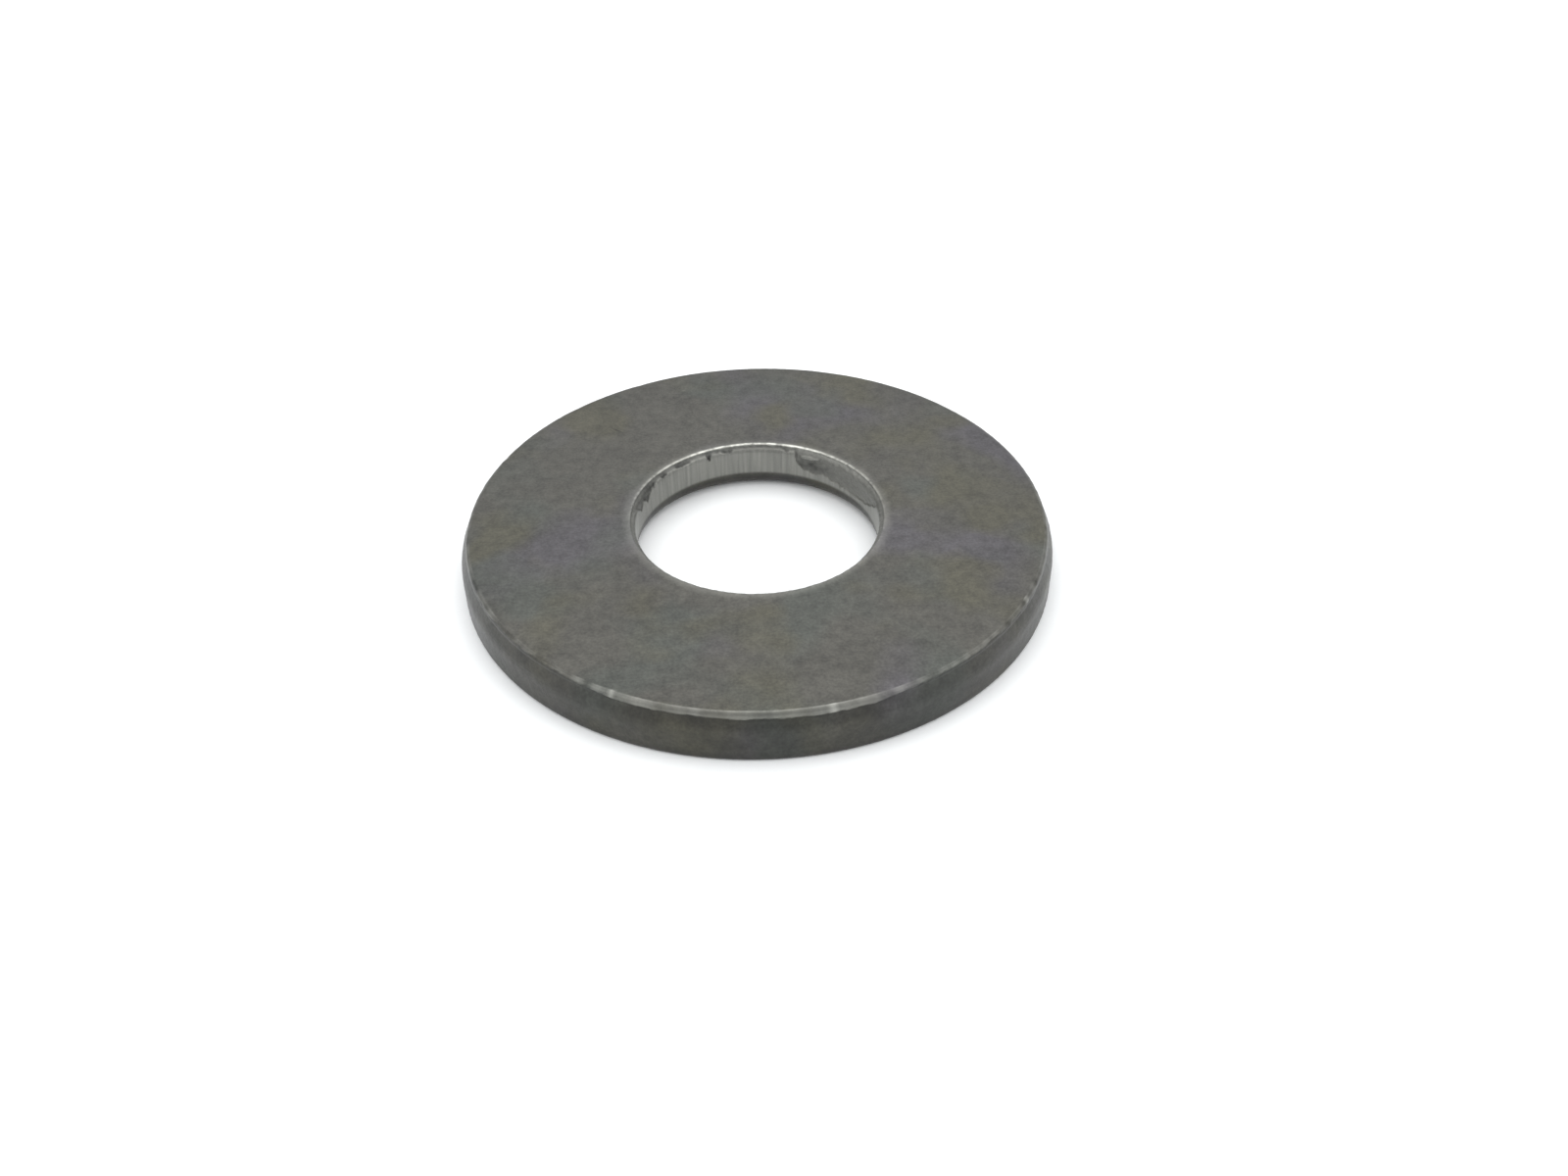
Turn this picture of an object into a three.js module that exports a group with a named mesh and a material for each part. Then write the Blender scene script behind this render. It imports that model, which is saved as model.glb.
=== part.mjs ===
// A flat washer for a 1/2 inch bolt, wide pattern, punched from steel strip and tumbled.
// Millimetres, +Z up. The origin is the centre of the underside, on the axis of the bore.
import * as THREE from "three";

// The three sizes that a washer is ordered by.
const OUTER_DIAMETER = 34.8;
const BORE_DIAMETER = 14.4; // at its narrowest, on the smooth land
const THICKNESS = 2.98;

// What the punch leaves on the bore's wall.
const BORE_ROLL_WIDTH = 0.88; // the drawn-in lower edge, measured across the underside
const BORE_ROLL_HEIGHT = 0.95; // and measured up the wall
const BORE_FLARE_WIDTH = 0.31; // the upper edge opens outwards by this much
const BORE_FLARE_DEPTH = 0.325; // over this depth below the upper face

// What the die and the barrel leave on the rim.
const RIM_ROLL_WIDTH = 0.16; // the lower edge, drawn in far less
const RIM_ROLL_HEIGHT = 0.27;
const LAND_TOP = 1.9; // where the smooth sheared land ends and the torn zone starts
const TEAR_LEAN = 0.365; // how far the torn zone leans back into the metal
const BAND_HEIGHT = 0.3; // the upright band that the barrel hammered under the upper face
const RIM_ROUND = 0.18; // its rounded upper edge

const SIDES = 144; // flats round the ring
const ARC_DIVISIONS = 2; // an arc gets twice as many steps

const STEEL_COLOR = 0x676762;
const STEEL_ROUGHNESS = 0.55;
const STEEL_METALNESS = 0.8;

const QUARTER = Math.PI / 2;

// Half of a cut through the ring, as a closed outline of radius and height.
// It runs out along the underside, up the rim, back over the top and down the bore.
function ringSection() {
  const rim = OUTER_DIAMETER / 2;
  const bore = BORE_DIAMETER / 2;
  const band = rim - TEAR_LEAN;
  const outline = new THREE.Path();
  outline.moveTo(bore + BORE_ROLL_WIDTH, 0);
  outline.lineTo(rim - RIM_ROLL_WIDTH, 0);
  outline.absellipse(
    rim - RIM_ROLL_WIDTH, RIM_ROLL_HEIGHT, RIM_ROLL_WIDTH, RIM_ROLL_HEIGHT, -QUARTER, 0,
  );
  outline.lineTo(rim, LAND_TOP);
  outline.lineTo(band, THICKNESS - BAND_HEIGHT);
  outline.lineTo(band, THICKNESS - RIM_ROUND);
  outline.absarc(band - RIM_ROUND, THICKNESS - RIM_ROUND, RIM_ROUND, 0, QUARTER);
  outline.lineTo(bore + BORE_FLARE_WIDTH, THICKNESS);
  outline.lineTo(bore, THICKNESS - BORE_FLARE_DEPTH);
  outline.lineTo(bore, BORE_ROLL_HEIGHT);
  outline.absellipse(
    bore + BORE_ROLL_WIDTH, BORE_ROLL_HEIGHT, BORE_ROLL_WIDTH, BORE_ROLL_HEIGHT, 2 * QUARTER, 3 * QUARTER,
  );
  return outline.getPoints(ARC_DIVISIONS);
}

// The whole washer: the section turned round the bore's axis.
function washer() {
  const section = ringSection();
  const geometry = new THREE.LatheGeometry([...section, section[0]], SIDES);
  geometry.rotateX(QUARTER); // a lathe turns round Y, and the bore runs along Z
  const steel = new THREE.MeshStandardMaterial({
    name: "dark_oxide_steel",
    color: STEEL_COLOR,
    roughness: STEEL_ROUGHNESS,
    metalness: STEEL_METALNESS,
  });
  const mesh = new THREE.Mesh(geometry, steel);
  mesh.name = "washer";
  return mesh;
}

const part = new THREE.Group();
part.name = "flat_washer";
part.add(washer());

export default part;
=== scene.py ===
# %% [markdown]
# # A flat washer, punched from strip and tumbled
#
# A flat washer looks like the simplest thing there is, a disc with a hole, and yet nobody takes a
# plain disc for one. What gives it away is how it was made. A punch pushes the ring out of a steel
# strip. Where the punch enters, the metal is drawn down and rounded. Next comes a smooth land,
# sheared and rubbed bright by the tool. Then the metal can't stretch any more and tears, which
# leaves a ragged dark zone and a thin burr. A tumbling barrel rounds the outer edge afterwards,
# and a dark oxide bath colours it all.
#
# This lesson turns that story into a mesh: a turned ring first, then the torn edges moved in by given rules,
# and last a finish that reads from the mesh where it is torn, worn or rubbed.

# %% Load the frame
import math

import bmesh
import bpy
from mathutils import Matrix, Vector, noise


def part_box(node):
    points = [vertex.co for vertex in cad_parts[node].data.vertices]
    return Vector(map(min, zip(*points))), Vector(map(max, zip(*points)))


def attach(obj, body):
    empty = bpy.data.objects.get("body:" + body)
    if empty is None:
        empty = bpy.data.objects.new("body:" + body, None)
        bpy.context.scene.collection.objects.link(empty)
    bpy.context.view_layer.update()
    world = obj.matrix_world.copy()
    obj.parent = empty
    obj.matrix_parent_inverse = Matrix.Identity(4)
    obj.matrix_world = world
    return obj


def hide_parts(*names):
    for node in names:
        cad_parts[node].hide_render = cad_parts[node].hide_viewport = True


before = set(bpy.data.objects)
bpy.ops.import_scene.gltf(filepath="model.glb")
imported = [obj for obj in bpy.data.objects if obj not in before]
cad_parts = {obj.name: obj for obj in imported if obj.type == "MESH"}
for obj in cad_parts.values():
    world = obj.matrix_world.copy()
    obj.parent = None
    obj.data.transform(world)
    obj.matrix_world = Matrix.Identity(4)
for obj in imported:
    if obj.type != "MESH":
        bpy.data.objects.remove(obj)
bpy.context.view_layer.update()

# %% [markdown]
# ## The sizes
#
# The frame already holds the washer at its real size, so the sizes are measured from it and not
# typed in again: the rim from its box, the bore from its innermost points. The drawing has a unit
# of its own, about 1.35 mm, in which the rim's radius is 12.85. Drawing in metres would do as well,
# but then each fine detail would be a number like 0.00003, hard to read and easy to get wrong. A
# unit that follows the rim also keeps the proportions, whatever size of washer the frame holds. The
# mesh is scaled to metres at the end.

# %% Measure the washer
DRAWN_RIM = 12.85
_, washer_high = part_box("washer")
UNIT = washer_high.x / DRAWN_RIM
RIM = washer_high.x / UNIT
TALL = washer_high.z / UNIT
BORE = min(math.hypot(v.co.x, v.co.y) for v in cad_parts["washer"].data.vertices) / UNIT
print(f"one unit is {1000 * UNIT:.3f} mm; rim {RIM:.2f} and bore {BORE:.2f} as radii, {TALL:.2f} thick")

# %% [markdown]
# ## The section
#
# A cylinder with a hole cut through it and a bevel on every edge would be quick, but its two bevels
# would be alike and its faces would have no points to move later. A turned shape gives each corner
# its own rounding. It starts from half of the washer's cut: a loop of ten corners, joined by edges
# and rounded one corner at a time by a vertex bevel. The lower corners are the ones that the punch
# drew in. They are bevelled round and then stretched up, because the wall is drawn in further than
# the underside. The bore is narrowest on its smooth land and opens a little towards the upper face,
# where the metal tore. The rim leans in above its own land, for the same reason, and ends in a
# short band, rounded at the top, that the barrel hammered. Rows of points are added only where the
# torn detail needs them: a flat face can do with few.

# %% Sizes of the bore's section
# A roll is how far a lower corner is drawn in, along the underside and up the wall.
BORE_ROLL = (0.65, 0.70)
FLARE_WIDTH = 0.23
FLARE_DEPTH = 0.24
EDGE = BORE + FLARE_WIDTH
LIP_ROUND = 0.05
WAIST_ROUND = 0.12
# How far the close rows of points reach: out over the upper face, and down to this height.
HALO = 0.7
TEAR_FLOOR = 0.96
print(f"the bore's radius opens from {BORE:.2f} to {EDGE:.2f} units at its upper edge")

# %% Sizes of the rim's section
RIM_ROLL = (0.12, 0.2)
LAND_TOP = 1.4
LAND_ROUND = 0.2
TEAR_LEAN = 0.27
BAND_HEIGHT = 0.28
BAND_ROUND = 0.2
FACE_MARGIN = 0.05
BAND_RADIUS = RIM - TEAR_LEAN
print(f"the rim's radius shrinks from {RIM:.2f} to {BAND_RADIUS:.2f} units at its band")


# %% Helpers that draw a rounded loop
def wire_loop(mesh, points):
    """A closed loop of edges through points of radius and height, standing on the XZ plane."""
    corners = [mesh.verts.new((radius, 0, height)) for radius, height in points]
    for corner, following in zip(corners, corners[1:] + corners[:1]):
        mesh.edges.new((corner, following))
    return corners


def round_corner(mesh, corner, size, steps):
    """Rounds a corner of the loop and returns the points of its arc."""
    made = bmesh.ops.bevel(
        mesh, geom=[corner], offset=size, segments=steps, profile=0.5, affect="VERTICES", material=-1
    )
    return made["verts"]


def roll_over(mesh, corner, roll, steps):
    """Rounds a lower corner by the roll's width along the underside and its height up the wall."""
    width, height = roll
    for point in round_corner(mesh, corner, width, steps):
        point.co.z *= height / width


# %% Rows of points
UNDERSIDE_ROWS = 1.2
FACE_ROWS = 0.6
HALO_ROWS = 0.1
WALL_ROWS = 0.12
TORN_ROWS = 0.04


def row_spacing(place):
    """How far apart the rows of points are on the stretch whose middle is at place."""
    if place.z <= 0:
        return UNDERSIDE_ROWS
    if place.z > TALL - 0.01:
        return HALO_ROWS if place.x < EDGE + HALO else FACE_ROWS
    return TORN_ROWS if place.z > 0.6 * TALL else WALL_ROWS


def add_rows(mesh):
    """Cuts each straight stretch into pieces of about its row spacing."""
    for edge in list(mesh.edges):
        middle = (edge.verts[0].co + edge.verts[1].co) / 2
        cuts = round(edge.calc_length() / row_spacing(middle)) - 1
        if cuts > 0:
            bmesh.ops.subdivide_edges(mesh, edges=[edge], cuts=cuts)


print(f"rows of points: {TORN_ROWS} units apart in the torn zones, {UNDERSIDE_ROWS} on the underside")

# %% Draw the section
ring = bmesh.new()
section = wire_loop(
    ring,
    [
        (BORE, 0),
        (RIM, 0),
        (RIM, LAND_TOP),
        (BAND_RADIUS, TALL - BAND_HEIGHT),
        (BAND_RADIUS, TALL),
        (BAND_RADIUS - BAND_ROUND - FACE_MARGIN, TALL),
        (EDGE + HALO, TALL),
        (EDGE, TALL),
        (BORE, TALL - FLARE_DEPTH),
        (BORE, TEAR_FLOOR),
    ],
)
roll_over(ring, section[0], BORE_ROLL, 8)
roll_over(ring, section[1], RIM_ROLL, 4)
round_corner(ring, section[2], LAND_ROUND, 3)
round_corner(ring, section[4], BAND_ROUND, 6)
round_corner(ring, section[7], LIP_ROUND, 4)
round_corner(ring, section[8], WAIST_ROUND, 3)
add_rows(ring)
print("section:", len(ring.verts), "points")

# %% [markdown]
# ## The ring
#
# A spin turns the section into a ring. A Screw modifier could do the same, but the points are moved
# one by one afterwards, so the ring has to be a real mesh. The steps are small, a twentieth of a
# millimetre at the bore, because the torn edge there is as fine as that, and so many steps make one
# long spin slow. So the spin makes a sixteenth of the ring, which is then copied and turned four
# times, each time doubling it. Merging the doubles closes the seams, and the faces are turned
# outwards.

# %% Spin the ring
STEPS = 864
DOUBLINGS = 4


def spin_sector(mesh, angle, steps):
    """Turns the section through angle and leaves the faces that it sweeps."""
    bmesh.ops.spin(
        mesh,
        geom=mesh.verts[:] + mesh.edges[:],
        cent=(0, 0, 0),
        axis=(0, 0, 1),
        dvec=(0, 0, 0),
        angle=angle,
        steps=steps,
        use_merge=False,
        use_duplicate=False,
    )


def double_round(mesh, angle):
    """Copies everything and turns the copy by angle round the axis."""
    copied = bmesh.ops.duplicate(mesh, geom=mesh.verts[:] + mesh.edges[:] + mesh.faces[:])
    points = [part for part in copied["geom"] if isinstance(part, bmesh.types.BMVert)]
    bmesh.ops.rotate(mesh, verts=points, cent=(0, 0, 0), matrix=Matrix.Rotation(angle, 3, "Z"))


sector = 2 * math.pi / 2**DOUBLINGS
spin_sector(ring, sector, STEPS // 2**DOUBLINGS)
for doubling in range(DOUBLINGS):
    double_round(ring, sector * 2**doubling)
bmesh.ops.remove_doubles(ring, verts=ring.verts, dist=0.001)
bmesh.ops.recalc_face_normals(ring, faces=ring.faces)
closed = all(edge.is_manifold for edge in ring.edges)
print("ring:", len(ring.verts), "points,", len(ring.faces), "faces, closed:", closed)

# %% [markdown]
# ## Where the metal tore
#
# Angles run anticlockwise from +X, seen from above. The torn zone of the bore hangs from the upper
# edge like a ragged curtain. On most of the ring it is a thin crack, with a few lenses and one
# V-shaped notch, and on one stretch the tear ran halfway down the wall. Noise alone could make a
# ragged edge, but it would look the same all the way round, and a real tear doesn't. So the outline
# is a list of points, one for each bend of the tear, and noise only makes it ragged between them.

# %% Set the torn outline
# Angle in degrees and how far the tear reaches below the upper face.
BORE_TEAR = [
    (0, 0.15), (8, 0.23), (15, 0.63), (20, 0.93), (26, 1.11), (34, 1.18), (45, 1.16), (51, 1.10),
    (56.5, 0.95), (60, 1.07), (66, 1.03), (68.5, 0.81), (70.3, 0.63), (71.5, 0.12), (73.8, 0.14),
    (75.5, 0.21), (77.5, 0.12), (80, 0.09), (99, 0.09), (102, 0.13), (104, 0.22), (106.5, 0.18),
    (108.6, 0.12), (110.5, 0.15), (113.2, 0.13), (114.0, 0.20), (114.7, 0.43), (115.6, 0.33),
    (116.8, 0.15), (118, 0.10), (124, 0.10), (126.5, 0.18), (129.2, 0.23), (132, 0.19),
    (135.4, 0.10), (138.8, 0.10), (140.5, 0.21), (143, 0.22), (145.2, 0.09), (148, 0.11),
    (150, 0.25), (152.5, 0.23), (154.3, 0.33), (157.6, 0.67), (160.5, 0.43), (162, 0.38),
    (165.5, 0.65), (169, 0.43), (173, 0.15), (192, 0.09), (206, 0.22), (222, 0.11), (243, 0.19),
    (256, 0.63), (271, 0.53), (284, 0.14), (312, 0.23), (338, 0.10), (360, 0.15),
]
# Angle in degrees and how dark the tear is there: deep cracks are dark, partly with dark oxide and partly
# with painted shade in their depth, the open torn stretch isn't.
TEAR_DARKNESS = [
    (0, 0.3), (30, 0.12), (48, 0.15), (56, 0.4), (63, 0.62), (69, 0.5), (78, 0.7), (98, 0.65),
    (104, 0.75), (116, 0.8), (121, 0.5), (129, 0.95), (137, 0.6), (142, 0.95), (148, 0.7),
    (157, 0.75), (168, 0.5), (180, 0.35), (256, 0.3), (360, 0.3),
]
print("deepest tear:", max(depth for _, depth in BORE_TEAR), "units below the upper face")


# %% Read an outline and make it ragged
# The least depth that the outline and its noise may give, and what is added all the way round.
THINNEST_TEAR = 0.12
TEAR_MARGIN = 0.03


def eased(share):
    """From 0 to 1 without a corner at either end."""
    share = min(max(share, 0.0), 1.0)
    return share * share * (3 - 2 * share)


def along(outline, angle):
    """The outline's value at an angle, eased from each point to the next."""
    for (start, low), (end, high) in zip(outline, outline[1:]):
        if angle <= end:
            return low + (high - low) * eased((angle - start) / (end - start))
    return outline[-1][1]


def grain(place, size, seed=0.0):
    """Smooth noise from -1 to 1, with bumps about size across. Each seed gives other bumps."""
    return noise.noise(place / size + Vector((seed, 0.37 * seed, 1.7 * seed)))


def on_circle(angle, radius):
    """The place at an angle in degrees on a level circle round the axis."""
    return Vector((radius * math.cos(math.radians(angle)), radius * math.sin(math.radians(angle)), 0))


def bore_tear_depth(angle):
    """How far the torn zone of the bore reaches below the upper face."""
    place = on_circle(angle, EDGE)
    ragged = 0.04 * grain(place, 0.45, 3) + 0.05 * grain(place, 0.17, 5) + 0.025 * grain(place, 0.09, 7)
    return max(along(BORE_TEAR, angle) + ragged, THINNEST_TEAR) + TEAR_MARGIN


print("tear at 0, 90, 180 and 270 degrees:", [round(bore_tear_depth(a), 2) for a in (0, 90, 180, 270)])

# %% [markdown]
# ## The bore's wall
#
# Three things happen to a point of the bore's wall. Inside the torn outline it moves back into the
# metal, with a rough grain. Below it, on the rubbed land, it is drawn by fine upright lines, which
# the punch scratched on its way through. And at the very edge a burr stands up in small beads and
# leans over the hole. One flake of the land was left hanging in the long tear, so it is kept out
# of the torn zone. A displacement map could do this too, but here the shape has to be a real one,
# because light catches the torn step from the side.
#
# Each point also notes, from 0 to 1, in four layers, how torn, dark, rubbed and worn it is. Torn, rubbed and
# worn say what became of the metal; dark is painted shade on the roll and on the rim's wall and crack, and
# dark oxide with painted shade in the tear. The finish reads them later, so colour and shape can't drift
# apart.

# %% Layers for the finish
torn_layer = ring.verts.layers.float.new("torn")
dark_layer = ring.verts.layers.float.new("dark")
rubbed_layer = ring.verts.layers.float.new("rubbed")
worn_layer = ring.verts.layers.float.new("worn")
print("layers:", ring.verts.layers.float.keys())


# %% Flake and darkness of the tear
FLAKE_ANGLE = 63.0
FLAKE_DEPTH = 0.33
# From and to which angle the long tear runs, and depth and half width of its dark streak.
LONG_TEAR = (15, 70)
DARK_STREAK = (0.75, 0.26)


def hump(value, middle, width):
    """1 at the middle, falling off smoothly to both sides."""
    return math.exp(-(((value - middle) / width) ** 2))


def flake(angle, depth):
    """1 on the flake of land that hangs in the long tear, 0 off it."""
    across = (angle - FLAKE_ANGLE) / 5.5
    ragged = 0.25 * grain(Vector((angle / 10, depth, 0)), 0.16, 9)
    down = (depth - FLAKE_DEPTH - 0.03 * across) / (0.095 + 0.035 * across)
    return eased(2.0 * (1.2 + ragged - math.hypot(across, down)))


def tear_darkness(point, angle, depth):
    """How dark the torn metal is at a point: dark oxide, with painted shade in the cracks."""
    shade = along(TEAR_DARKNESS, angle) * (0.85 + 0.5 * grain(point.co, 0.22, 15))
    if LONG_TEAR[0] < angle < LONG_TEAR[1]:
        shade *= 0.4 + 0.9 * hump(depth, *DARK_STREAK)
    return min(max(shade, 0.0), 1.0)


print("flake in the middle of its place:", round(flake(FLAKE_ANGLE, FLAKE_DEPTH), 2))


# %% Shape the bore's wall
# How far torn metal lies back, how rough it is, and how deep the drag lines are.
TORN_RECESS = 0.05
TORN_GRAIN = 0.028
DRAG_LINE = 0.0035
# How far down the whole lip reaches, how wide a tear's edge is, and how much coat the flare keeps.
LIP_DEPTH = 0.035
TEAR_EDGE = 0.04
FLARE_COAT = 0.75
# Where the land begins, and how dark, how high and how wide the painted shade on the roll is: a dark stripe
# low on the wall, where it lies in shade near the paper.
ROLL_TOP = 0.70
ROLL_PAINTED_SHADE = 0.5
ROLL_STRIPE = (0.5, 0.15)


def shape_bore_wall(point, radius, angle):
    """Tears and rubs one point of the wall, and notes torn, dark (painted shade, with oxide in the tear) and
    rubbed.
    """
    depth = TALL - point.co.z
    edge = (bore_tear_depth(angle) - depth) / TEAR_EDGE
    under_lip = (depth - LIP_DEPTH) / TEAR_EDGE
    torn = eased(0.5 + edge) * eased(under_lip) * (1 - flake(angle, depth))
    upright = Vector((point.co.x, point.co.y, 0.05 * point.co.z))
    rough = TORN_GRAIN * (grain(point.co, 0.2, 17) + 0.6 * grain(point.co, 0.09, 19))
    lines = DRAG_LINE * (grain(upright, 0.16, 23) + 0.7 * grain(upright, 0.07, 29))
    point[torn_layer] = torn
    # Painted shade: a dark stripe on the roll near the paper, where the wall lies in shade.
    roll_shade = ROLL_PAINTED_SHADE * hump(point.co.z, *ROLL_STRIPE)
    # The tear's dark colour is partly dark oxide and partly painted shade in its cracks.
    point[dark_layer] = max(torn * tear_darkness(point, angle, depth), roll_shade)
    flare = FLARE_COAT * eased(1.1 - depth / FLARE_DEPTH)
    point[rubbed_layer] = (1 - torn) * (1 - flare) * eased((point.co.z - ROLL_TOP) / 0.12)
    move = torn * (TORN_RECESS + rough) + (1 - torn) * lines
    point.co.xy *= (radius + move) / radius


# %% [markdown]
# ## The burr and the halo
#
# Where the tear broke through the upper face, it pushed up a thin crest of metal. The barrel broke it into
# crumbs, bent it over the hole and rubbed it bright, and it rubbed a pale halo on the face round it. A row
# of small balls could stand for the crumbs, but they would be separate pieces that sink into the ring. So
# the edge itself is raised, by noise and by a few larger beads, listed one by one.

# %% Sizes of the burr
BURR_HEIGHT = 0.022
BURR_LEAN = 0.5
LIP_SIZE = 0.09
# Angle in degrees and height of the larger beads.
BEADS = [
    (41, 0.05), (58.5, 0.025), (65, 0.025), (71.5, 0.04), (82, 0.02), (85, 0.02), (89, 0.02),
    (93, 0.03), (96, 0.025), (107, 0.03), (114.5, 0.022), (132, 0.015),
]
# Angle in degrees and how bare the lip was rubbed there.
LIP_SHINE = [
    (0, 0.2), (28, 0.35), (50, 0.6), (72, 1.0), (117, 1.0), (128, 0.6), (165, 0.3), (195, 0.15),
    (360, 0.2),
]
HALO_SHINE = 0.08
print("beads set by hand:", len(BEADS))


# %% Raise the burr
def beads(angle):
    """Height of the larger beads at an angle."""
    return sum(height * hump(angle, middle, 1.1) for middle, height in BEADS)


def burr(angle):
    """Height of the burr on the bore's upper edge."""
    place = on_circle(angle, EDGE)
    crumbs = 0.5 * grain(place, 0.5, 11) + 0.5 * grain(place, 0.21, 13) + 0.35 * grain(place, 0.1, 14)
    return max(BURR_HEIGHT * (0.6 + crumbs) + beads(angle), 0.003)


def shape_bore_lip(point, radius, angle, from_edge):
    """The burr along the edge, and the polished halo that the barrel left round it."""
    place = on_circle(angle, EDGE)
    crest = hump(from_edge, 0, LIP_SIZE)
    patchy = 0.75 + 0.45 * grain(place, 0.4, 31) + 0.45 * grain(place, 0.16, 33) + 7 * beads(angle)
    reach = 0.38 + 0.1 * grain(place, 1.1, 35) + 0.1 * grain(place, 0.15, 37)
    halo = HALO_SHINE * eased(1.15 - from_edge / reach)
    bare = crest * min(max(patchy, 0.15), 1.0) * along(LIP_SHINE, angle)
    point[worn_layer] = max(bare, halo)
    height = burr(angle) * crest
    point.co.z += height
    point.co.xy *= (radius - BURR_LEAN * height) / radius


def shape_bore(point):
    """Shapes a point if it is on the bore's wall or on the face close to it."""
    radius = math.hypot(point.co.x, point.co.y)
    if radius > EDGE + HALO or point.co.z < BORE_ROLL[1] / 2:
        return
    angle = math.degrees(math.atan2(point.co.y, point.co.x)) % 360
    from_edge = math.hypot(radius - EDGE, TALL - point.co.z)
    if radius < EDGE:
        shape_bore_wall(point, radius, angle)
    if point.co.z > TALL - 0.2:
        shape_bore_lip(point, radius, angle, from_edge)


for point in ring.verts:
    shape_bore(point)
print("bore shaped, burr up to", round(max(v.co.z for v in ring.verts) - TALL, 3), "units high")

# %% [markdown]
# ## The rim
#
# The outer edge knocked against thousands of others in the barrel. Its burr was hammered over into a bright
# band with a ragged lower border, and under that border a fine dark crack is left, where the folded metal
# doesn't quite touch the wall; the crack's darkness is painted shade. Below the crack the wall is darker and
# blotched with painted shade, and a paler line low down is a painted reflection of the paper. A few hard
# knocks left bright flats on the band. An even bevel would make a bright line too, but one without a
# beginning or an end, so the band's reach is listed, like the tear.

# %% Sizes of the rim's wear and of its painted shade
BAND_BULGE = 0.004
CRACK_DEPTH = 0.02
CRACK_WIDTH = 0.03
# How strong the painted shade is on the wall below the band.
WALL_PAINTED_SHADE = 0.36
# Height and half width of the paler line, a painted reflection of the paper low on the wall, and how much of
# the painted shade it takes away.
PAPER_REFLECTION_LINE = (0.45, 0.16)
PAPER_REFLECTION_SHARE = 0.45
# Angle in degrees, half width in degrees and depth of the knocks.
KNOCKS = [(118, 0.9, 0.03), (158, 0.7, 0.025), (244.3, 0.5, 0.03), (283.5, 0.8, 0.04), (331, 0.8, 0.03)]
# Angle in degrees and how far the hammered band reaches down, as a share of its full height.
BAND_REACH = [
    (0, 0.5), (38, 0.85), (62, 0.5), (98, 0.55), (120, 0.95), (141, 0.5), (180, 0.5), (234, 0.35),
    (249, 0.9), (290, 1.0), (298, 0.5), (306, 0.35), (360, 0.5),
]
BAND_SHINE = 0.165
print("knocks on the band:", len(KNOCKS))


# %% Shape the rim
def band_depth(angle):
    """How far the hammered band reaches below the upper face."""
    place = on_circle(angle, RIM)
    ragged = 0.02 * grain(place, 2.2, 41) + 0.04 * grain(place, 0.7, 43) + 0.03 * grain(place, 0.24, 47)
    return BAND_HEIGHT * along(BAND_REACH, angle) + ragged


def knock(angle):
    """Depth of the knocks at an angle."""
    return sum(size * hump(angle, middle, width) for middle, width, size in KNOCKS)


def band_wear(angle):
    """How bare the band was rubbed at an angle."""
    place = on_circle(angle, RIM)
    full = BAND_SHINE * along(BAND_REACH, angle)
    return full + 0.09 * grain(place, 1.3, 79) + 0.11 * grain(place, 0.45, 83) + 8 * knock(angle)


def shape_rim(point):
    """Shapes a point if it is on the rim, and notes worn and dark, where dark is painted shade on the wall
    and in the crack.
    """
    radius = math.hypot(point.co.x, point.co.y)
    depth = TALL - point.co.z
    face_edge = BAND_RADIUS - BAND_ROUND
    if radius < face_edge - 0.08 or point.co.z < RIM_ROLL[1] / 2:
        return
    angle = math.degrees(math.atan2(point.co.y, point.co.x)) % 360
    place = on_circle(angle, RIM)
    border = band_depth(angle) + knock(angle)
    inner = face_edge + 0.02 + 0.025 * grain(place, 0.9, 53) + 0.012 * grain(place, 0.25, 55)
    band = eased((radius - inner) / 0.05 + 0.5) * eased((border - depth) / 0.03 + 0.5)
    # The crack under the band and the wall below it get painted shade; the paler line low on the wall is a
    # painted reflection of the paper.
    crack = hump(depth, border + CRACK_WIDTH, CRACK_WIDTH) * (0.6 + 0.5 * grain(place, 0.8, 59))
    wall = eased((depth - border) / 0.05) * (1 - PAPER_REFLECTION_SHARE * hump(point.co.z, *PAPER_REFLECTION_LINE))
    blotch = 1 + 0.8 * grain(point.co, 1.3, 85) + 0.4 * grain(point.co, 0.5, 87)
    rough = 0.008 * grain(point.co, 0.3, 61) + 0.006 * grain(point.co, 0.13, 67)
    dents = 0.014 * grain(point.co, 0.8, 71) + 0.01 * grain(point.co, 0.25, 73)
    point[worn_layer] = band * min(max(band_wear(angle), 0.0), 1.0)
    point[dark_layer] = min(WALL_PAINTED_SHADE * wall * blotch + 0.45 * max(crack, 0.0), 1.0)
    bulge = BAND_BULGE * eased(depth / BAND_HEIGHT) + dents - 0.6 * knock(angle)
    move = band * bulge - CRACK_DEPTH * crack + wall * rough
    point.co.xy *= (radius + move) / radius


for point in ring.verts:
    shape_rim(point)
print("rim shaped, widest point", round(max(math.hypot(*v.co.xy) for v in ring.verts), 3), "units")

# %% [markdown]
# ## From mesh to piece
#
# The ring becomes one object at the origin. Its mesh is scaled to metres, and not the object, so
# the object keeps a scale of 1 and its materials measure in metres too. It stands for the plain
# washer of the frame and rides on the same body.

# %% Make the piece
bmesh.ops.scale(ring, vec=(UNIT, UNIT, UNIT), verts=ring.verts)
for face in ring.faces:
    face.smooth = True
washer_mesh = bpy.data.meshes.new("washer_ring")
ring.to_mesh(washer_mesh)
ring.free()
washer = bpy.data.objects.new("washer_ring", washer_mesh)
bpy.context.scene.collection.objects.link(washer)
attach(washer, "root")
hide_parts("washer")
print("washer_ring:", 2 * len(washer_mesh.polygons), "triangles")

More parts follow.
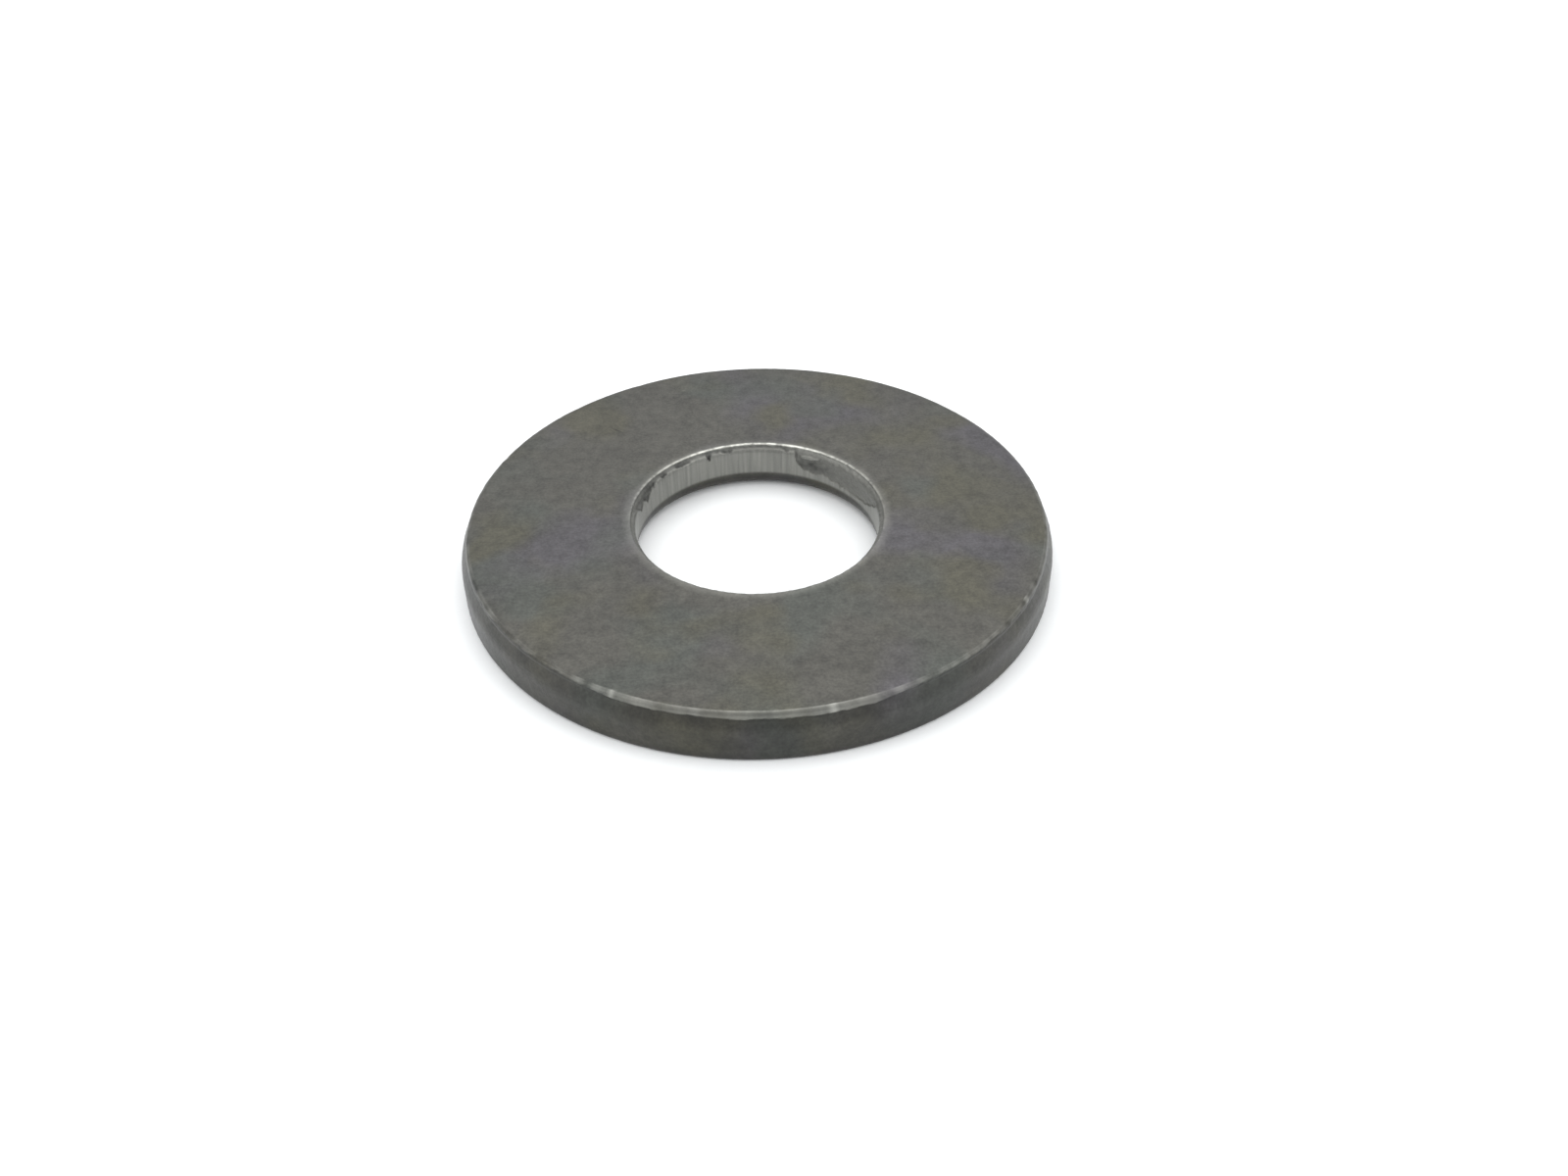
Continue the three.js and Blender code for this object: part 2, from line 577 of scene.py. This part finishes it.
# %% [markdown]
# ## A few helpers for node trees
#
# A node tree is easier to read as a recipe than as a list of links. add() makes a node and fills
# its sockets: a number or a colour is set, and another node's output is linked.

# %% Node helpers
def add(tree, kind, settings=None, **sockets):
    """Makes a node, applies its settings and fills its sockets."""
    node = tree.nodes.new(kind)
    for name, value in (settings or {}).items():
        setattr(node, name, value)
    for name, value in sockets.items():
        fill(tree, node.inputs[name.replace("_", " ")], value)
    return node


def fill(tree, socket, value):
    """Links a socket to another node's output, or sets it to a value."""
    if isinstance(value, bpy.types.NodeSocket):
        tree.links.new(value, socket)
    else:
        socket.default_value = value


def calculate(tree, operation, first, second=0.0):
    """The result of one step of arithmetic."""
    node = add(tree, "ShaderNodeMath", {"operation": operation})
    fill(tree, node.inputs[0], first)
    fill(tree, node.inputs[1], second)
    return node.outputs[0]


def mix_colours(tree, share, low, high):
    """The colour low where share is 0, and high where it is 1."""
    node = add(tree, "ShaderNodeMix", {"data_type": "RGBA"})
    fill(tree, node.inputs[0], share)
    fill(tree, node.inputs[6], low)
    fill(tree, node.inputs[7], high)
    return node.outputs[2]


# %% Node helpers for patterns
def spread(tree, value, low, high, to_low=0.0, to_high=1.0):
    """Maps low..high of a value to to_low..to_high, and holds it there outside."""
    node = add(tree, "ShaderNodeMapRange", Value=value)
    for name, number in (("From Min", low), ("From Max", high), ("To Min", to_low), ("To Max", to_high)):
        node.inputs[name].default_value = number
    return node.outputs[0]


def speckle(tree, where, size, detail=2.0, offset=0.0):
    """Noise from 0 to 1 with spots about size metres across."""
    moved = add(tree, "ShaderNodeMapping", Vector=where, Location=(offset, 0.6 * offset, -offset))
    made = add(tree, "ShaderNodeTexNoise", Vector=moved.outputs[0], Scale=1 / size, Detail=detail)
    return made.outputs["Fac"]


def layer(tree, name):
    """One of the layers that the shaping left on the mesh."""
    return add(tree, "ShaderNodeAttribute", {"attribute_name": name}).outputs["Fac"]


def grey(level, tint=(1.0, 1.0, 1.0)):
    """A grey with a tint, as a colour with alpha."""
    return tuple(level * share for share in tint) + (1.0,)


print("a middle grey:", grey(0.5))

# %% [markdown]
# ## The dark oxide coat
#
# Oxide on tumbled steel is a dark metal with a satin face. It is never one colour: the bath leaves
# clouds several millimetres wide with a breath of violet, green or olive, and the barrel leaves a
# fine speckle. A picture of such a face could be wrapped round the ring, but it would blur up close
# and stretch on the walls. Noise that is read in the object's own space fits every face and any
# distance. The coat is thin, so wherever something rubs, the steel shines through.

# %% Colour of the coat
COAT = grey(0.067, (1.0, 0.965, 0.83))
VIOLET = grey(0.069, (1.0, 0.94, 1.04))
GREEN = grey(0.066, (0.94, 1.01, 0.88))
OLIVE = grey(0.067, (1.04, 0.99, 0.70))
# Colour, width in units, and where in the noise it is read.
CLOUDS = [(VIOLET, 5.5, 0.011), (GREEN, 4.2, 0.047), (OLIVE, 3.6, 0.083)]


def coat_tint(tree, where):
    """The coat with its clouds."""
    colour = COAT
    for tint, size, offset in CLOUDS:
        cloud = speckle(tree, where, size * UNIT, 1.5, offset)
        colour = mix_colours(tree, spread(tree, cloud, 0.52, 0.66, 0.0, 0.9), colour, tint)
    return colour


print("clouds up to", round(1000 * UNIT * max(size for _, size, _ in CLOUDS), 1), "mm wide")

# %% Marks on the upper face
# Place, angle in degrees, length, width, and how much lighter.
MARKS = [
    (-6.7, 6.9, -36, 1.0, 0.12, -0.45), (-3.7, 10.4, 20, 0.26, 0.2, 0.6), (-3.2, 8.5, -75, 0.7, 0.08, -0.2),
    (-4.5, 10.9, 10, 0.8, 0.08, 0.25), (-8.4, -0.3, -35, 1.6, 0.09, 0.14), (-9.4, 1.2, -62, 1.3, 0.08, 0.12),
    (4.4, 9.3, -80, 0.9, 0.08, 0.2), (8.6, -5.1, 48, 1.1, 0.07, 0.12), (-2.1, -9.6, 15, 1.2, 0.08, 0.1),
    (9.1, 6.2, -20, 0.8, 0.07, 0.15), (-10.3, 5.6, 60, 0.5, 0.12, 0.25), (2.6, -8.3, -30, 0.7, 0.07, -0.12),
]


def mark(tree, where, x, y, angle, length, width):
    """1 in the middle of a short scratch on the upper face, 0 outside it."""
    across = add(tree, "ShaderNodeMapping", {"vector_type": "TEXTURE"}, Vector=where)
    across.inputs["Location"].default_value = (x * UNIT, y * UNIT, TALL * UNIT)
    across.inputs["Rotation"].default_value = (0, 0, math.radians(angle))
    across.inputs["Scale"].default_value = (length / 2 * UNIT, width / 2 * UNIT, 0.2 * UNIT)
    inside = add(tree, "ShaderNodeTexGradient", {"gradient_type": "SPHERICAL"}, Vector=across.outputs[0])
    return spread(tree, inside.outputs["Fac"], 0.0, 0.6)


print("marks:", len(MARKS))


# %% Speckle and shade of the coat
# Size of the spots, and how much they lighten or darken the coat.
SPECKLES = [(0.13, 0.19), (0.45, 0.19), (1.6, 0.12)]


def coat_colour(tree, where):
    """The whole coat: clouds, speckle and marks."""
    shade = 1.0
    for place, (size, strength) in enumerate(SPECKLES):
        spots = speckle(tree, where, size * UNIT, 3.0, 0.003 + 0.008 * place)
        shade = calculate(tree, "ADD", spread(tree, spots, 0.3, 0.7, -strength, strength), shade)
    for x, y, angle, length, width, lighter in MARKS:
        inside = mark(tree, where, x, y, angle, length, width)
        shade = calculate(tree, "ADD", calculate(tree, "MULTIPLY", inside, lighter), shade)
    shaded = add(tree, "ShaderNodeVectorMath", {"operation": "SCALE"}, Scale=shade)
    fill(tree, shaded.inputs[0], coat_tint(tree, where))
    return shaded.outputs[0]


print("finest speckle:", round(1000 * UNIT * SPECKLES[0][0], 2), "mm")

# %% [markdown]
# ## The whole finish
#
# The layers that the shaping left on the mesh choose between the coat, torn metal, the rubbed land, worn
# edges and a dark colour that is painted shade, with some dark oxide in the tear. Separate materials on
# separate faces could do that too, but their borders would be as hard as the faces' edges, and here one
# finish fades into the next. The drag lines of the land are noise that is stretched up the wall, by all but
# leaving out each point's height.

# %% Build the finish
TORN_STEEL = grey(0.20, (1.0, 1.0, 0.91))
# Painted shade for the roll, the rim's wall and the crack under the band, and dark oxide with painted shade
# in the tear.
OXIDE_AND_PAINTED_SHADE = grey(0.022, (1.0, 1.0, 0.95))
RUBBED_LOW = grey(0.187, (1.0, 1.0, 0.92))
RUBBED_HIGH = grey(0.262, (1.0, 1.0, 0.91))
WORN_STEEL = grey(0.7, (1.0, 1.0, 0.92))
LINE_WIDTH = 0.12
PORE_SIZE = 0.09
BUMP_HEIGHT = 0.012
# Roughness of the coat's smoothest and dullest spots, and what wear and tearing change in it.
SATIN = (0.44, 0.56)
WORN_SMOOTHER = 0.08
TORN_DULLER = 0.15


def upright_lines(tree, where, size):
    """Lines that run up a wall, size metres apart round the bore."""
    level = add(tree, "ShaderNodeVectorMath", {"operation": "MULTIPLY"})
    fill(tree, level.inputs[0], where)
    level.inputs[1].default_value = (1, 1, 0.04)
    made = add(tree, "ShaderNodeTexNoise", Vector=level.outputs[0], Scale=1 / size, Detail=3.0)
    return made.outputs["Fac"]


def dark_oxide_steel():
    """The one material of the washer."""
    material = bpy.data.materials.new("dark_oxide_steel")
    material.use_nodes = True
    tree = material.node_tree
    steel = tree.nodes["Principled BSDF"]
    where = add(tree, "ShaderNodeTexCoord").outputs["Object"]
    torn = layer(tree, "torn")
    dark = layer(tree, "dark")
    rubbed = layer(tree, "rubbed")
    worn = layer(tree, "worn")
    lines = upright_lines(tree, where, LINE_WIDTH * UNIT)

    colour = coat_colour(tree, where)
    rubbed_colour = mix_colours(tree, spread(tree, lines, 0.3, 0.7), RUBBED_LOW, RUBBED_HIGH)
    colour = mix_colours(tree, rubbed, colour, rubbed_colour)
    colour = mix_colours(tree, torn, colour, TORN_STEEL)
    # Painted shade: the dark layer darkens the roll, the rim's wall and the crack, and the tear with its
    # oxide.
    colour = mix_colours(tree, dark, colour, OXIDE_AND_PAINTED_SHADE)
    colour = mix_colours(tree, worn, colour, WORN_STEEL)
    fill(tree, steel.inputs["Base Color"], colour)

    pores = speckle(tree, where, PORE_SIZE * UNIT, 4.0, 0.007)
    dull = spread(tree, pores, 0.3, 0.7, *SATIN)
    dull = calculate(tree, "SUBTRACT", dull, calculate(tree, "MULTIPLY", worn, WORN_SMOOTHER))
    dull = calculate(tree, "ADD", dull, calculate(tree, "MULTIPLY", torn, TORN_DULLER))
    fill(tree, steel.inputs["Roughness"], dull)
    steel.inputs["Metallic"].default_value = 1.0
    steel.inputs["Coat Weight"].default_value = 0.5
    steel.inputs["Coat Roughness"].default_value = 0.42

    height = calculate(tree, "MULTIPLY", lines, rubbed)
    height = calculate(tree, "ADD", pores, height)
    bump = add(tree, "ShaderNodeBump", Height=height, Strength=0.6, Distance=BUMP_HEIGHT * UNIT)
    fill(tree, steel.inputs["Normal"], bump.outputs[0])
    return material


washer_mesh.materials.append(dark_oxide_steel())
print("finish:", len(washer_mesh.materials[0].node_tree.nodes), "nodes")

# %% [markdown]
# ## The table it lies on
#
# A sheet of white paper, plain enough to leave the washer alone in the picture. A curved backdrop
# would hide the horizon, but it would also stand in the way of a view from behind. So the sheet is
# flat and round and far bigger than the washer, and its edge is far off in every direction. It lies
# a hundredth of a millimetre lower than the underside, so that the two faces don't fight.

# %% Lay the paper
PAPER_RADIUS = 0.9
PAPER_DROP = 0.00001


def white_paper():
    """Matt white with faint fibres."""
    material = bpy.data.materials.new("white_paper")
    material.use_nodes = True
    tree = material.node_tree
    paper = tree.nodes["Principled BSDF"]
    where = add(tree, "ShaderNodeTexCoord").outputs["Object"]
    fibres = speckle(tree, where, 0.5 * UNIT, 3.0)
    shade = mix_colours(tree, fibres, (0.95, 0.96, 0.96, 1), (0.97, 0.98, 0.98, 1))
    fill(tree, paper.inputs["Base Color"], shade)
    paper.inputs["Roughness"].default_value = 0.9
    return material


sheet = bmesh.new()
bmesh.ops.create_circle(sheet, cap_ends=True, segments=96, radius=PAPER_RADIUS)
bmesh.ops.translate(sheet, vec=(0, 0, -PAPER_DROP), verts=sheet.verts)
paper_mesh = bpy.data.meshes.new("paper")
sheet.to_mesh(paper_mesh)
sheet.free()
paper_mesh.materials.append(white_paper())
paper = bpy.data.objects.new("paper", paper_mesh)
bpy.context.scene.collection.objects.link(paper)
print("paper:", 2 * PAPER_RADIUS, "m across")

# %% [markdown]
# ## The light
#
# A metal face shows the room more than its own colour, so an even face needs an even room: most
# of the light comes from a pale room all round. One strong lamp would leave a hot spot on the face
# and a black shadow. A wide panel above and behind fills the upper face and leaves the near rim in
# half shade, which makes its edge stand out. Two lower panels, left and right, light the bore's
# wall and the sides of the rim, and thin out the shadow on the paper. The camera doesn't see the
# panels themselves.

# %% Set the light
# Name, place and size as multiples of the rim's radius, and watts for a panel one metre wide.
PANELS = [
    ("panel_behind", (0, 3, 7.8), 12.5, 3.4),
    ("panel_left", (-7, -3, 4.7), 6.2, 5.2),
    ("panel_right", (7, -3, 4.7), 6.2, 5.2),
]
ROOM_STRENGTH = 0.77
ROOM_COLOUR = (0.97, 0.985, 1.0, 1)


def soft_panel(name, place, size, strength):
    """A round panel of soft light that faces the middle of the washer."""
    light = bpy.data.lights.new(name, "AREA")
    light.shape = "DISK"
    light.size = size * washer_high.x
    light.energy = strength * light.size**2
    panel = bpy.data.objects.new(name, light)
    panel.location = Vector(place) * washer_high.x
    panel.rotation_euler = (-Vector(place)).to_track_quat("-Z", "Y").to_euler()
    panel.visible_camera = False
    bpy.context.scene.collection.objects.link(panel)


room = bpy.data.worlds.new("pale_room")
room.use_nodes = True
room.node_tree.nodes["Background"].inputs["Color"].default_value = ROOM_COLOUR
room.node_tree.nodes["Background"].inputs["Strength"].default_value = ROOM_STRENGTH
bpy.context.scene.world = room
for panel in PANELS:
    soft_panel(*panel)
bpy.context.scene.view_settings.view_transform = "Standard"
print("panels:", [panel[0] for panel in PANELS])

# %% [markdown]
# ## The camera
#
# A close view from above, as with a small wide camera held in the hand: a little roll, and the
# washer slightly left of and above the middle. A longer lens from further away would frame the same
# washer, but it would flatten it, and the near rim would lose its weight. The camera could be
# placed by its own position, but it is easier to say where it sees the washer, along its own axes
# and as multiples of the rim's radius: X is to the right, Y is up, and -Z is in front of the lens.

# %% Set the camera
CAMERA_TILT = math.radians(38.84)
CAMERA_ROLL = math.radians(-0.762)
WASHER_IN_VIEW = Vector((-0.0898, 0.1188, -5.0257)) * washer_high.x
LENS = 33.26

camera_data = bpy.data.cameras.new("camera")
camera_data.lens = LENS
camera_data.clip_start = 0.001
camera_data.clip_end = 10.0
camera = bpy.data.objects.new("camera", camera_data)
turn = Matrix.Rotation(math.pi / 2 - CAMERA_TILT, 4, "X") @ Matrix.Rotation(CAMERA_ROLL, 4, "Z")
camera.matrix_world = Matrix.Translation(turn @ -WASHER_IN_VIEW) @ turn
bpy.context.scene.collection.objects.link(camera)
bpy.context.scene.camera = camera
print("camera", round(1000 * WASHER_IN_VIEW.length, 1), "mm away")
